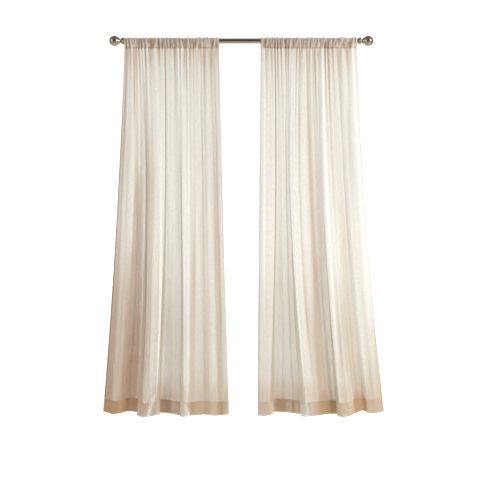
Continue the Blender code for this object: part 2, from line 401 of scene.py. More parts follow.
class CurtainSizes(bpy.types.PropertyGroup):
    """How the two panels are cut and sewn."""

    flat_width: metres("Cut width", "Width of each panel before it is gathered", 1.07)
    layer_gap: metres("Layer gap", "Distance between the layers of a turned hem", 0.5 * MM)
    hem_depth: metres("Hem", "Depth of the double hem along the bottom", 76 * MM)
    side_hem: metres("Side hem", "Width of the edge turned back down each side", 12 * MM)
    pinch: metres("Pinch", "How far a row of stitches draws the cloth in", 1.2 * MM)
    pinch_reach: metres("Pinch reach", "How far from the stitches the cloth is drawn in", 4 * MM)
    fine_gather: metres("Fine gathers", "Height of the small gathers between the large ones", 2.2 * MM)
    stitch_length: metres("Stitch", "Length of one stitch", 2.6 * MM)
    stitch_pitch: metres("Stitch pitch", "Distance from one stitch to the next", 3.4 * MM)
    thread_radius: metres("Thread radius", "Half the sewing thread's thickness", 0.28 * MM)


class RodSizes(bpy.types.PropertyGroup):
    """Sizes of the rod's turned finials, measured outwards from the rod's end."""

    end_bevel: metres("End bevel", "Rounding at the rod's ends", 0.6 * MM)
    wall: metres("Wall", "Thickness of the rod's wall", 1 * MM)
    bead_centre: metres("Bead centre", "Middle of the bead next to the curtain", 7.5 * MM)
    bead_half: metres("Bead half width", "Half the bead's width", 7 * MM)
    bead_root: metres("Bead root", "Radius at the bead's edges", 14 * MM)
    bead_radius: metres("Bead radius", "Radius at the bead's crest", 19.5 * MM)
    waist_centre: metres("Waist centre", "Middle of the narrow waist", 19 * MM)
    waist_half: metres("Waist half width", "Half the waist's length", 3 * MM)
    waist_radius: metres("Waist radius", "Radius of the waist", 9 * MM)
    cup_root: metres("Cup root", "Radius of the cup where it leaves the waist", 13.5 * MM)
    ball_centre: metres("Ball centre", "Middle of the ball", 54 * MM)
    ball_radius: metres("Ball radius", "Radius of the ball", 28.5 * MM)
    ball_neck: metres("Ball neck", "Radius where the cup runs into the ball", 19.5 * MM)


class CurtainFinish(bpy.types.PropertyGroup):
    """Colours of the cloth with its painted highlights and shade, the thread and the metal."""

    cream: colour("Cream", "The voile's colour in the light", (0.67, 0.65, 0.53))
    # Painted highlight: the crests are given the pale cream, lighter than the cream.
    pale: colour("Pale cream", "The voile's colour on its crests", (0.86, 0.84, 0.75))
    # Painted shade: beige, warm and deep cream darken the cloth the deeper it lies behind its folds; the
    # warm cream also marks denser streaks and slubs.
    beige: colour("Beige", "The voile's colour between its crests and valleys", (0.58, 0.53, 0.415))
    warm: colour("Warm cream", "The voile's colour in its valleys and denser streaks", (0.66, 0.46, 0.30))
    deep: colour("Deep cream", "The voile's colour in its deepest valleys", (0.46, 0.29, 0.17))
    layered: colour("Layered", "The hem's colour, where the voile is folded twice", (0.90, 0.72, 0.56))
    # Painted shade in the hem's valleys.
    layered_deep: colour("Layered deep", "The hem's colour in the valleys", (0.70, 0.44, 0.23))
    # Painted highlight on the pocket's ridges and painted shade in its hollows.
    ridge: colour("Ridge", "The gathered pocket's colour on its ridges", (1.00, 0.85, 0.70))
    hollow: colour("Hollow", "The gathered pocket's colour between its ridges", (0.80, 0.50, 0.31))
    glow: colour("Glow", "The voile's colour with light behind it", (0.80, 0.71, 0.54))
    thread: colour("Thread", "The sewing thread's colour", (0.85, 0.78, 0.67))
    nickel: colour("Nickel", "The polished metal's colour", (0.41, 0.35, 0.28))
    cover: amount("Cover", "How much of what is behind it one layer of voile hides", 0.60)


class StudioSettings(bpy.types.PropertyGroup):
    """The pale studio and its soft lights."""

    # The paper glows by its own emission, painted light with no lamp behind it.
    glow: amount("Glow", "How brightly the paper behind the curtains is lit from its back", 0.57)
    camera_distance: metres("Camera distance", "From the lens to the rod's plane", 4.0)
    floor_below_hem: metres("Floor", "How far the floor lies below the hem", 0.32)
    backdrop_behind: metres("Backdrop", "How far the backdrop stands behind the rod", 5.3)
    paper: colour("Paper", "The floor's and backdrop's colour", (0.96, 0.957, 0.95))


def waves(table, angle):
    return sum(wave.size * np.sin(wave.rate * angle + wave.start) for wave in table)


LATTICES = {}


def lattice_noise(across, along, seed):
    """Smooth noise between -1 and 1, from a seeded lattice of heights one unit apart."""
    if seed not in LATTICES:
        LATTICES[seed] = np.random.default_rng(seed).uniform(-1, 1, (256, 64))
    heights = LATTICES[seed]
    col, row = np.floor(across).astype(int), np.floor(along).astype(int)
    s, t = across - col, along - row
    s, t = s * s * (3 - 2 * s), t * t * (3 - 2 * t)
    a = heights[col % 256, row % 64]
    b = heights[(col + 1) % 256, row % 64]
    c = heights[col % 256, (row + 1) % 64]
    d = heights[(col + 1) % 256, (row + 1) % 64]
    return (a * (1 - s) + b * s) * (1 - t) + (c * (1 - s) + d * s) * t


class HungCloth:
    """The surface that one panel hangs in. Columns are given by t, from 0 at its left edge to 1."""

    def __init__(self, plan, sizes):
        self.turns, self.creases, self.ridges = plan.turns, plan.creases, plan.ridges
        self.seed = plan.seed
        self.sizes = sizes
        hem = self.turns_at(1.0)
        steps = np.linalg.norm(np.diff(hem, axis=0), axis=1)
        self.shares = np.concatenate([[0], np.cumsum(steps)]) / steps.sum()

    def turns_at(self, share):
        """(x, y, sag) of every turn at a share of the fall."""
        at_pocket = (share - WAIST_SHARE) * (share - 1) / WAIST_SHARE
        at_waist = share * (share - 1) / (WAIST_SHARE * (WAIST_SHARE - 1))
        at_hem = share * (share - WAIST_SHARE) / (1 - WAIST_SHARE)
        rows = [
            (
                at_pocket * turn.pocket_x + at_waist * turn.waist_x + at_hem * turn.hem_x,
                at_pocket * STITCH_Y / MM + at_waist * turn.waist_y + at_hem * turn.hem_y,
                -turn.sag * share,
            )
            for turn in self.turns
        ]
        return np.array(rows) * MM

    def share_of(self, t):
        """The share of the cloth's width that has passed at column t."""
        return t + waves(SPACING_WAVES, math.tau * t) * 4 * t * (1 - t)

    def across(self, points, share):
        """(place, slope) on the smooth curve through the turns at one height."""
        count = len(self.shares)
        low = np.maximum(np.arange(count) - 1, 0)
        high = np.minimum(np.arange(count) + 1, count - 1)
        slopes = (points[high] - points[low]) / (self.shares[high] - self.shares[low])[:, None]
        i = np.clip(np.searchsorted(self.shares, share, side="right") - 1, 0, count - 2)
        width = (self.shares[i + 1] - self.shares[i])[:, None]
        s = (share - self.shares[i])[:, None] / width
        a, b = points[i], points[i + 1]
        ta, tb = slopes[i] * width, slopes[i + 1] * width
        place = (
            a * (2 * s**3 - 3 * s**2 + 1)
            + ta * (s**3 - 2 * s**2 + s)
            + b * (3 * s**2 - 2 * s**3)
            + tb * (s**3 - s**2)
        )
        slope = (
            a * (6 * s**2 - 6 * s)
            + ta * (3 * s**2 - 4 * s + 1)
            + b * (6 * s - 6 * s**2)
            + tb * (3 * s**2 - 2 * s)
        )
        return place, slope

    def uneven(self, across, number, along=0.0):
        """Smooth noise across the panel at one height, between -1 and 1, from a lattice of its own."""
        return lattice_noise(across, np.full_like(across, along), self.seed + number)

    def gather_size(self, phase):
        return MEAN_GATHER + waves(SIZE_WAVES, phase)

    def ripple(self, share):
        """How strong the ripples are across the panel, from almost none to full."""
        return 0.75 + 0.65 * self.uneven(share * 11, 9)

    def small_gathers(self, share):
        """The height of the small gathers in the pocket, from -1 to 1."""
        width = self.sizes.flat_width
        wide = self.uneven(share * width / WIDE_GATHER, 5)
        narrow = self.uneven(share * width / NARROW_GATHER, 6)
        return 0.65 * wide + 0.35 * narrow

    def crease_relief(self, share, fall_share):
        """(height, tint): how far the creases stand out at a share of the fall, and how much
        painted shade they put on the cloth, a painted highlight where it is negative."""
        height, tint = np.zeros_like(share), np.zeros_like(share)
        for crease in self.creases:
            grown = smooth_step((fall_share - crease.start) / crease.grow)
            strength = grown * smooth_step((crease.end - fall_share) / crease.fade)
            middle = crease.share + crease.lean * max(fall_share - crease.start, 0)
            away = (share - middle) * self.sizes.flat_width / (crease.width * MM)
            near = strength * np.exp(-(away**2))
            height, tint = height + crease.height * MM * near, tint + crease.tint * near
        return height, tint

    def ridge_relief(self, share, climb, below=0.0):
        """How far the pocket's ridges stand out, at a climb from 0 at the stitching to 1 at the top
        of the rod, or below the stitching."""
        height = np.zeros_like(share)
        for ridge in self.ridges:
            drop = 0.4 + 0.6 * math.exp(-below / RIDGE_DROP)
            strength = math.exp(-below / (ridge.reach * MM)) * drop
            middle = ridge.share + ridge.lean * climb
            away = np.abs(share - middle) * self.sizes.flat_width / (ridge.width * MM)
            height = height + strength * ridge.height * MM * np.exp(-(away**1.4))
        return height

    def pocket_hollow_shade(self, share):
        """How much painted shade lies in the hollows between the pocket's ridges, from 0 to 1."""
        return smooth_step(0.6 + 1.8 * self.uneven(share * self.sizes.flat_width / POCKET_HOLLOW, 15))

    def relief(self, share, below):
        """How far the cloth stands out of its main folds, at a distance below the stitching."""
        sizes = self.sizes
        soon = 0.45 + 0.55 * math.exp(-below / GATHER_DROP)
        height = soon * sizes.fine_gather * self.small_gathers(share) * math.exp(-below / SMALL_GATHER_FADE)
        height = height + self.crease_relief(share, below / FALL)[0]
        height = height + self.ridge_relief(share, 0, below)
        hem_top = FALL - sizes.hem_depth
        calm = 1 - 0.45 * smooth_step((below - hem_top + HEM_CALM) / HEM_CALM)
        grown = smooth_step(below / CRINKLE_GROWTH)
        for k, crinkle in enumerate(CRINKLES):
            drift = 0.6 * math.sin(2.1 * below + k)
            across = share * sizes.flat_width / crinkle.across + drift
            ridge = self.uneven(across, k, below / crinkle.along + 7.3 * k)
            height = height + crinkle.height * (0.35 + 0.65 * grown) * calm * ridge
        for seam in (0.0, hem_top):
            height = height - sizes.pinch * math.exp(-(((below - seam) / sizes.pinch_reach) ** 2))
        return height

    def fall(self, t, below, behind=0.0):
        """Points of the hanging cloth at a distance below the stitching, behind its front layer."""
        share = self.share_of(t)
        fall_share = below / FALL
        spot, way = self.across(self.turns_at(fall_share), share)
        out = np.stack([way[:, 1], -way[:, 0]], axis=1)
        out /= np.linalg.norm(out, axis=1)[:, None]
        level = STITCH_Z - below + spot[:, 2]
        phase = math.tau * GATHERS * t
        fade = math.exp(-below / GATHER_FADE)
        depth = self.ripple(share) * RIPPLE_DEPTH + (GATHER_DEPTH - RIPPLE_DEPTH) * fade
        height = depth * self.gather_size(phase) * np.sin(phase) + self.relief(share, below)
        flat = spot[:, :2] + out * (height - behind)[:, None]
        return np.column_stack([flat, level])

    def crumple(self, across, round_share):
        """The small crumples of the pocket, from -1 to 1, at a share of the way round the rod."""
        return self.uneven(across * 95, 12, 7 * round_share)

    def pocket(self, t, share, inside=0.0):
        """Points of the pocket at a share of the way round the rod, from the back of the seam."""
        behind = (2 * self.sizes.layer_gap - inside) * (1 - smooth_step(share / SEAM_RISE))
        stitch = self.fall(t, 0.0, behind=behind)
        phase = math.tau * GATHERS * t
        round_rod = ROD_RADIUS + ROD_CLEARANCE + SOLID_CLOTH / 2
        reach = round_rod - inside
        leave = math.acos(round_rod / -STITCH_Z)
        held = min(max(share, POCKET_FLAT), 1 - POCKET_FLAT)
        angle = leave + (math.tau - 2 * leave) * (held - POCKET_FLAT) / (1 - 2 * POCKET_FLAT)
        fullness = 0.5 + 0.5 * np.sin(phase + math.pi * (1 - share))
        height = GATHER_HEIGHT * self.gather_size(phase) * fullness
        climb = 1 - abs(2 * share - 1)
        across = self.share_of(t)
        small = 0.5 + 0.5 * self.small_gathers(across + 0.02 * (1 - share))
        height = height + self.ridge_relief(across, climb) + CRUMPLE_HEIGHT * self.crumple(across, share)
        out = reach + np.maximum(height + self.sizes.fine_gather * (small - 0.35), 0)
        edge = np.column_stack([stitch[:, 0], out * math.sin(angle), -out * math.cos(angle)])
        along = min(share, 1 - share, POCKET_FLAT) / POCKET_FLAT
        return stitch + (edge - stitch) * along


def smooth_step(value):
    value = np.clip(value, 0, 1)
    return value * value * (3 - 2 * value)


def graded(length, first, most, growth=1.3):
    """Distances from 0 to length whose steps grow from first to most."""
    marks, step = [0.0], first
    while marks[-1] + step < length - step / 2:
        marks.append(marks[-1] + step)
        step = min(step * growth, most)
    return [*marks, length]


def cloth_columns(sizes):
    """(t, layers behind the front) for each column, with both side edges turned back once."""
    turn = sizes.side_hem / sizes.flat_width
    turned = [(turn * s, SIDE_HEM_LAYERS) for s in (1.0, 0.8, 0.6, 0.4, 0.2, 0.04)]
    front = [(i / MAIN_COLUMNS, 0) for i in range(MAIN_COLUMNS + 1)]
    return [*turned, *front, *[(1 - t, layer) for t, layer in reversed(turned)]]


Row = namedtuple("Row", "zone at layer")


def cloth_rows(sizes):
    """The cloth's path from its raw edge inside the pocket, round the rod and down to the hem."""
    rows = [Row("turn_in", s, 1) for s in (0.22, 0.15, 0.08, 0.03)]
    rows += [Row("fall", SEAM_ALLOWANCE, 1.5)]
    rows += [Row("pocket", s, 2) for s in np.linspace(0.02, 0.99, 30)]
    hem_top = FALL - sizes.hem_depth
    half = graded(hem_top / 2, *ROW_STEPS)
    lower = [hem_top - mark for mark in reversed(half)]
    rows += [Row("fall", below, 0) for below in (*half, *lower[1:])]
    hem = graded(sizes.hem_depth, *HEM_STEPS)
    rows += [Row("fall", hem_top + mark, 0) for mark in hem[1:]]
    rows += [Row("fall", FALL - mark, 2) for mark in hem[:-1]]
    rows += [Row("fall", hem_top, 1.5)]
    rows += [Row("fall", hem_top + mark, 1) for mark in hem[1:-1]]
    return rows


class NodeBoard:
    """Short calls for building one material's nodes."""

    def __init__(self, name):
        self.material = bpy.data.materials.new(name)
        self.material.use_nodes = True
        self.nodes = self.material.node_tree.nodes
        self.links = self.material.node_tree.links
        self.shader = self.nodes["Principled BSDF"]
        self.output = self.nodes["Material Output"]

    def add(self, kind, **settings):
        node = self.nodes.new(kind)
        for key, value in settings.items():
            setattr(node, key, value)
        return node

    def feed(self, socket, value):
        if isinstance(value, bpy.types.NodeSocket):
            self.links.new(value, socket)
        else:
            socket.default_value = value

    def math(self, operation, first, second=0.0):
        node = self.add("ShaderNodeMath", operation=operation)
        self.feed(node.inputs[0], first)
        self.feed(node.inputs[1], second)
        return node.outputs[0]

    def times(self, first, second):
        return self.math("MULTIPLY", first, second)

    def weighted(self, held, *terms):
        """A starting value plus each term's socket times its weight."""
        for socket, weight in terms:
            held = self.math("ADD", held, self.times(socket, weight))
        return held

    def split(self, vector):
        node = self.add("ShaderNodeSeparateXYZ")
        self.feed(node.inputs["Vector"], vector)
        return node.outputs

    def ranged(self, value, low, high, to_low=0, to_high=1):
        node = self.add("ShaderNodeMapRange", interpolation_type="SMOOTHSTEP")
        for key, given in zip(
            ("Value", "From Min", "From Max", "To Min", "To Max"), (value, low, high, to_low, to_high)
        ):
            self.feed(node.inputs[key], given)
        return node.outputs["Result"]

    def noise(self, vector, scale, detail=2.0):
        """Noise on a vector that is first stretched by scale, in cells per metre."""
        mapping = self.add("ShaderNodeMapping")
        self.feed(mapping.inputs["Vector"], vector)
        mapping.inputs["Scale"].default_value = scale
        node = self.add("ShaderNodeTexNoise")
        node.inputs["Scale"].default_value = 1.0
        node.inputs["Detail"].default_value = detail
        self.feed(node.inputs["Vector"], mapping.outputs["Vector"])
        return node.outputs["Fac"]

    def blend(self, factor, first, second):
        node = self.add("ShaderNodeMix", data_type="RGBA")
        self.feed(node.inputs["Factor"], factor)
        self.feed(node.inputs["A"], first if isinstance(first, bpy.types.NodeSocket) else (*first, 1))
        self.feed(node.inputs["B"], second if isinstance(second, bpy.types.NodeSocket) else (*second, 1))
        return node.outputs["Result"]

    def bump(self, height, strength, distance):
        node = self.add("ShaderNodeBump")
        node.inputs["Strength"].default_value = strength
        node.inputs["Distance"].default_value = distance
        self.feed(node.inputs["Height"], height)
        return node.outputs["Normal"]

    def shade(self, inputs):
        """Feed the main shader's inputs, by name."""
        for name, value in inputs.items():
            self.feed(self.shader.inputs[name], value)

    def mixed(self, factor, first, second):
        """A mix of two shaders."""
        node = self.add("ShaderNodeMixShader")
        for place, given in enumerate((factor, first, second)):
            self.feed(node.inputs[place], given)
        return node.outputs["Shader"]


def voile_material(finish):
    """Sheer plain weave with slubs along both threads, denser in places, that glows against light, with
    shade painted into its valleys and highlights onto its crests.
    """
    board = NodeBoard("voile_cloth")
    plan = board.add("ShaderNodeUVMap", uv_map=CLOTH_MAP).outputs["UV"]
    spot = board.split(plan)
    thread = math.tau / WEAVE_PITCH
    warp = board.math("SINE", board.times(spot["X"], thread))
    weft = board.math("SINE", board.times(spot["Y"], thread))
    weave = board.times(warp, weft)
    weft_slub = board.ranged(board.noise(plan, (22, 420, 1), 3), 0.54, 0.72)
    warp_slub = board.ranged(board.noise(plan, (520, 9, 1), 3), 0.54, 0.72)
    slub = board.math("MAXIMUM", weft_slub, warp_slub)
    streak = board.ranged(board.noise(plan, (70, 0.7, 1), 2), 0.35, 0.65)
    cloud = board.noise(plan, (7, 3, 1), 3)
    mottle = board.ranged(board.noise(plan, (55, 38, 1), 3), 0.36, 0.64)

    # The valley attribute paints shade: the deeper a point lies behind its folds, the denser, darker and
    # warmer the cloth is drawn, and its crests are drawn lighter as a painted highlight.
    valley = board.add("ShaderNodeAttribute", attribute_name=SHADE_ATTRIBUTE).outputs["Fac"]
    valley_shade = board.ranged(valley, 0.42, 0.85)
    hollow = board.ranged(valley, 0.62, 1.0)
    crest = board.ranged(valley, 0.0, 0.5, 1, 0)
    low = board.ranged(spot["Y"], *LOW_CLOTH)
    doubled = board.add("ShaderNodeAttribute", attribute_name=DOUBLED).outputs["Fac"]
    in_hem = board.times(doubled, board.ranged(spot["Y"], *HEM_BAND))
    in_pocket = board.math("SUBTRACT", doubled, in_hem)
    near_hem = board.ranged(spot["Y"], *ABOVE_HEM)
    for kept_out in (doubled, valley_shade):
        near_hem = board.times(near_hem, board.math("SUBTRACT", 1.0, kept_out))
    # The cover carries painted light too: denser in the valleys and on the pocket's painted ridge
    # highlights, thinner on the crests and most on the hem's crests, which show lighter.
    cover = board.weighted(
        finish.cover - UNEVEN_COVER,
        (slub, 0.12),
        (weave, 0.05),
        (streak, 0.07),
        (cloud, 0.08),
        (mottle, 0.045),
        (low, 0.15),
        (valley_shade, 0.17),
        (near_hem, 0.08),
        (crest, -0.06),
        (board.times(crest, in_hem), -0.22),
        (board.times(crest, in_pocket), 0.22),
        (in_pocket, -0.07),
    )
    # Warmer in denser streaks and slubs, low down, just above the hem and where the cloth is doubled, and as
    # painted shade in the valleys; less warm on the painted crests.
    shade_and_density = board.weighted(
        0.0,
        (streak, 0.14),
        (slub, 0.14),
        (low, 0.16),
        (doubled, 0.10),
        (hollow, 0.80),
        (near_hem, 0.45),
        (crest, -0.30),
    )
    # Painted highlight and shade: crests take the pale cream and valleys the beige, warm and deep creams;
    # the hem's valleys take the layered deep colour and its crests the pale cream; the pocket's ridges take
    # the ridge colour and its hollows the hollow colour.
    cream = board.blend(crest, finish.cream, finish.pale)
    cream = board.blend(board.times(valley_shade, 0.6), cream, finish.beige)
    tone = board.blend(shade_and_density, cream, finish.warm)
    tone = board.blend(board.times(hollow, 0.55), tone, finish.deep)
    folded = board.blend(valley_shade, finish.layered, finish.layered_deep)
    folded = board.blend(crest, folded, finish.pale)
    tone = board.blend(board.times(in_hem, 0.65), tone, folded)
    gathered = board.blend(hollow, finish.ridge, finish.hollow)
    tone = board.blend(board.times(in_pocket, 0.45), tone, gathered)
    normal = board.bump(board.weighted(slub, (weave, 0.25)), 0.35, 0.3 * MM)
    board.shade({
        "Base Color": tone,
        "Roughness": 0.85,
        "Specular IOR Level": 0.25,
        "Sheen Weight": 0.25,
        "Sheen Roughness": 0.4,
        "Normal": normal,
    })

    # The light through the cloth is darkened towards the deep cream by the same painted shade.
    glow = board.add("ShaderNodeBsdfTranslucent")
    board.feed(glow.inputs["Color"], board.blend(shade_and_density, finish.glow, finish.deep))
    board.feed(glow.inputs["Normal"], normal)
    cloth = board.mixed(THROUGH_LIGHT, board.shader.outputs["BSDF"], glow.outputs["BSDF"])
    clear = board.add("ShaderNodeBsdfTransparent").outputs["BSDF"]
    board.feed(board.output.inputs["Surface"], board.mixed(cover, clear, cloth))
    return board.material


def dimmed(tone, share):
    return tuple(share * part for part in tone)


def thread_material(finish):
    """Twisted sewing thread in the cloth's own cream."""
    board = NodeBoard("sewing_thread")
    place = board.add("ShaderNodeTexCoord").outputs["Object"]
    twist = board.noise(place, (2600, 2600, 2600), 1)
    board.shade({
        "Base Color": board.blend(twist, finish.thread, dimmed(finish.thread, 0.86)),
        "Roughness": 0.7,
        "Normal": board.bump(twist, 0.3, 0.1 * MM),
    })
    return board.material


def nickel_material(finish):
    """Polished nickel with a faint brushing along the rod and slightly uneven gloss."""
    board = NodeBoard("polished_nickel")
    place = board.add("ShaderNodeTexCoord").outputs["Object"]
    brushing = board.noise(place, (8, 1500, 1500), 2)
    smudge = board.noise(place, (18, 40, 40), 3)
    board.shade({
        "Base Color": board.blend(smudge, finish.nickel, dimmed(finish.nickel, 0.9)),
        "Metallic": 1.0,
        "Specular Tint": (0.62, 0.56, 0.50, 1),
        "Roughness": board.weighted(0.08, (brushing, 0.08), (smudge, 0.10)),
        "Normal": board.bump(brushing, 0.06, 0.1 * MM),
    })
    return board.material


def paper_material(studio):
    """Pale paper that glows white behind the curtains, and not in front of them or far to the sides."""
    board = NodeBoard("studio_paper")
    place = board.add("ShaderNodeTexCoord").outputs["Object"]
    spot = board.split(place)
    across = board.math("POWER", spot["X"], 2.0)
    upward = board.math("POWER", board.math("SUBTRACT", spot["Z"], HEM_Z / 2), 2.0)
    away = board.math("SQRT", board.math("ADD", across, upward))
    behind = board.ranged(spot["Y"], *GLOW_GROWS, 0, studio.glow)
    board.shade({
        "Base Color": board.blend(board.noise(place, (3, 3, 3)), studio.paper, dimmed(studio.paper, 0.985)),
        "Roughness": 0.85,
        "Emission Color": (1, 1, 1, 1),
        "Emission Strength": board.times(behind, board.ranged(away, *GLOW_FADES, 1, 0)),
    })
    return board.material


MADE_MATERIALS = {}


def kept_material(maker, finish):
    """The material that maker makes, made once."""
    known = bpy.data.materials.get(MADE_MATERIALS.get(maker.__name__, ""))
    if known is None:
        known = maker(finish)
        MADE_MATERIALS[maker.__name__] = known.name
    return known


def finished(name, shape):
    """The mesh of a bmesh that is done with."""
    mesh = bpy.data.meshes.new(name)
    shape.to_mesh(mesh)
    shape.free()
    return mesh


def new_piece(mesh, finish_material):
    """The mesh as a smooth-shaded object that rides on the frame's one body."""
    mesh.shade_smooth()
    piece = bpy.data.objects.new(mesh.name, mesh)
    bpy.context.scene.collection.objects.link(piece)
    mesh.materials.append(finish_material)
    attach(piece, "root")
    return piece


def laid_out(columns, rows, cloth, sizes):
    """(places, lengths) of the sheet: a line of points for each row, and how far down the cloth it is."""
    t, turned = np.array(columns).T
    places, lengths = [], [0.0]
    for row in rows:
        if row.zone == "fall":
            line = cloth.fall(t, row.at, behind=(turned + row.layer) * sizes.layer_gap)
        else:
            line = cloth.pocket(t, row.at, inside=sizes.layer_gap if row.zone == "turn_in" else 0.0)
            line[:, 1] += turned * sizes.layer_gap
        if places:
            lengths.append(lengths[-1] + float(np.median(np.linalg.norm(line - places[-1], axis=1))))
        places.append(line)
    return np.array(places), np.array(lengths)


def sheet_mesh(name, cloth, sizes):
    """(mesh, length) of one panel: a grid moved onto the cloth's path, with the cloth's own plan as its map
    and, as an attribute, the depth of its valleys with the creases' and pocket's painted shade added."""
    columns, rows = cloth_columns(sizes), cloth_rows(sizes)
    places, lengths = laid_out(columns, rows, cloth, sizes)
    wide, long = len(columns) - 1, len(rows) - 1
    shape = bmesh.new()
    bmesh.ops.create_grid(shape, x_segments=wide, y_segments=long, size=1)
    mesh = finished(name, shape)
    flat = np.empty(3 * len(mesh.vertices))
    mesh.vertices.foreach_get("co", flat)
    flat = flat.reshape(-1, 3)
    column = np.rint((flat[:, 0] + 1) / 2 * wide).astype(int)
    row = np.rint((1 - flat[:, 1]) / 2 * long).astype(int)
    mesh.vertices.foreach_set("co", places[row, column].ravel())
    share = cloth.share_of(np.array([each[0] for each in columns]))
    plan = np.column_stack([share[column] * sizes.flat_width, lengths[row]])
    corners = np.empty(len(mesh.loops), dtype=int)
    mesh.loops.foreach_get("vertex_index", corners)
    mesh.uv_layers.new(name=CLOTH_MAP).data.foreach_set("uv", plan[corners].ravel())
    valley = mesh.attributes.new(SHADE_ATTRIBUTE, "FLOAT", "POINT")
    hem_top = FALL - sizes.hem_depth + 1 * MM
    in_hem = np.array([each.zone == "fall" and each.at > hem_top for each in rows])[:, None]
    # Painted shade: the valleys' depth, never less than HEM_LEVEL in the hem, with the creases' and the
    # pocket's painted shade and highlights added.
    depths = valley_depths(places)
    depths = np.where(in_hem, np.maximum(depths, HEM_LEVEL), depths) + painted_shading(rows, share, cloth)
    valley.data.foreach_set("value", np.clip(depths, 0, 1)[row, column].ravel())
    layered = np.array([float(each.zone != "fall" or each.at > hem_top) for each in rows])
    doubled = mesh.attributes.new(DOUBLED, "FLOAT", "POINT")
    doubled.data.foreach_set("value", layered[row])
    return mesh, float(lengths[-1])


def painted_shading(rows, share, cloth):
    """How much painted shade each point gets, drawing it denser, for the crease or the pocket's ridge or
    hollow it is in; where negative it is a painted highlight.
    """
    lines = []
    for row in rows:
        if row.zone == "fall":
            # Just below the stitching the cloth is painted in shade under the pocket, lighter as a painted
            # highlight where the ridges run on.
            ridge = cloth.ridge_relief(share, 0, row.at) / RIDGE_HIGHLIGHT_HEIGHT
            below_pocket_shade = math.exp(-row.at / POCKET_SHADE_FADE) * (0.40 - 0.48 * ridge)
            lines.append(below_pocket_shade + cloth.crease_relief(share, row.at / FALL)[1])
        else:
            # In the pocket its hollows are painted in shade, most near the seam and least over the rod's
            # top, and its ridges and raised crumples are painted lighter as highlights.
            climb = 1 - abs(2 * row.at - 1)
            ridge = cloth.ridge_relief(share, climb) / RIDGE_HIGHLIGHT_HEIGHT
            hollow = cloth.pocket_hollow_shade(share) * smooth_step(1.3 - 1.7 * climb)
            lines.append(hollow - 0.20 - 0.40 * cloth.crumple(share, row.at) - 1.2 * ridge)
    return np.array(lines)


def valley_depths(places):
    """How deep each point lies behind the folds beside it, from 0 on the crests to 1."""
    depth = places[:, :, 1]
    count = depth.shape[1]
    total = np.zeros_like(depth)
    for reach, share in VALLEY_REACHES:
        window = max(3, int(reach * count) | 1)
        padded = np.pad(depth, ((0, 0), (window // 2, window // 2)), mode="edge")
        summed = np.cumsum(np.pad(padded, ((0, 0), (1, 0))), axis=1)
        mean = (summed[:, window:] - summed[:, :-window]) / window
        total += share * (depth - mean) / (VALLEY_DEPTH * reach)
    return smooth_step(0.5 + total)


class CURTAIN_OT_hang_panels(bpy.types.Operator):
    """Hang the two voile panels, each one sheet with its pocket and turned hems."""

    bl_idname = "curtain.hang_panels"
    bl_label = "Hang Voile Panels"

    def execute(self, context):
        sizes, finish = context.scene.curtain_sizes, context.scene.curtain_finish
        for plan in PANELS:
            cloth = HungCloth(plan, sizes)
            mesh, length = sheet_mesh(plan.name, cloth, sizes)
            panel = new_piece(mesh, kept_material(voile_material, finish))
            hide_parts(plan.node)
        return {"FINISHED"}


def stitch_shape(shape, start, end, outward, radius):
    """One stitch: a four-sided strand that leaves the cloth, bows out and goes back in."""
    along = end - start
    across = along.cross(outward).normalized() * radius
    rings = []
    for share, rise in ((0, -0.4), (0.25, 0.8), (0.75, 0.8), (1, -0.4)):
        centre = start + along * share + outward * radius * rise
        swell = 0.55 if rise < 0 else 1.0
        up = outward * radius * swell
        side = across * swell
        rings.append([shape.verts.new(centre + offset) for offset in (up, side, -up, -side)])
    for ring, after in zip(rings, rings[1:]):
        for k in range(4):
            shape.faces.new((ring[k], ring[(k + 1) % 4], after[(k + 1) % 4], after[k]))
    shape.faces.new(reversed(rings[0]))
    shape.faces.new(rings[-1])


def stitch_line(cloth, sizes, t, marks):
    """(points, outward directions) of a row of stitches: columns t at each mark down the cloth."""
    front, back = (
        np.concatenate([cloth.fall(t, mark, behind=depth) for mark in marks])
        for depth in (-0.35 * sizes.layer_gap, 1 * MM)
    )
    outward = front - back
    return front, outward / np.linalg.norm(outward, axis=1)[:, None]


def sew(shape, line, outward, sizes):
    """Stitches of one length and pitch along a line of close points."""
    gaps = np.linalg.norm(np.diff(line, axis=0), axis=1)
    run = np.concatenate([[0], np.cumsum(gaps)])
    starts = np.arange(sizes.stitch_pitch, run[-1] - sizes.stitch_pitch, sizes.stitch_pitch)
    for begin in starts:
        ends = []
        for mark in (begin, begin + sizes.stitch_length):
            ends.append(Vector([np.interp(mark, run, line[:, axis]) for axis in range(3)]))
        middle = int(np.searchsorted(run, begin + sizes.stitch_length / 2))
        stitch_shape(shape, ends[0], ends[1], Vector(outward[middle]), sizes.thread_radius)


class CURTAIN_OT_sew_seams(bpy.types.Operator):
    """Sew the pocket, the hem and the side hems with rows of stitches."""

    bl_idname = "curtain.sew_seams"
    bl_label = "Sew Seams"

    def execute(self, context):
        sizes, finish = context.scene.curtain_sizes, context.scene.curtain_finish
        side = (sizes.side_hem - 1.5 * MM) / sizes.flat_width
        across = np.linspace(0.001, 0.999, 2600)
        down = np.arange(6 * MM, FALL - 1 * MM, 7 * MM)
        for plan in PANELS:
            cloth = HungCloth(plan, sizes)
            lines = {
                "pocket": stitch_line(cloth, sizes, across, [0.0]),
                "hem": stitch_line(cloth, sizes, across, [FALL - sizes.hem_depth]),
                "left_side": stitch_line(cloth, sizes, np.array([side]), down),
                "right_side": stitch_line(cloth, sizes, np.array([1 - side]), down),
            }
            for part, (line, outward) in lines.items():
                shape = bmesh.new()
                sew(shape, line, outward, sizes)
                bmesh.ops.recalc_face_normals(shape, faces=shape.faces)
                name = f"{plan.name}_{part}_stitches"
                new_piece(finished(name, shape), kept_material(thread_material, finish))
        return {"FINISHED"}


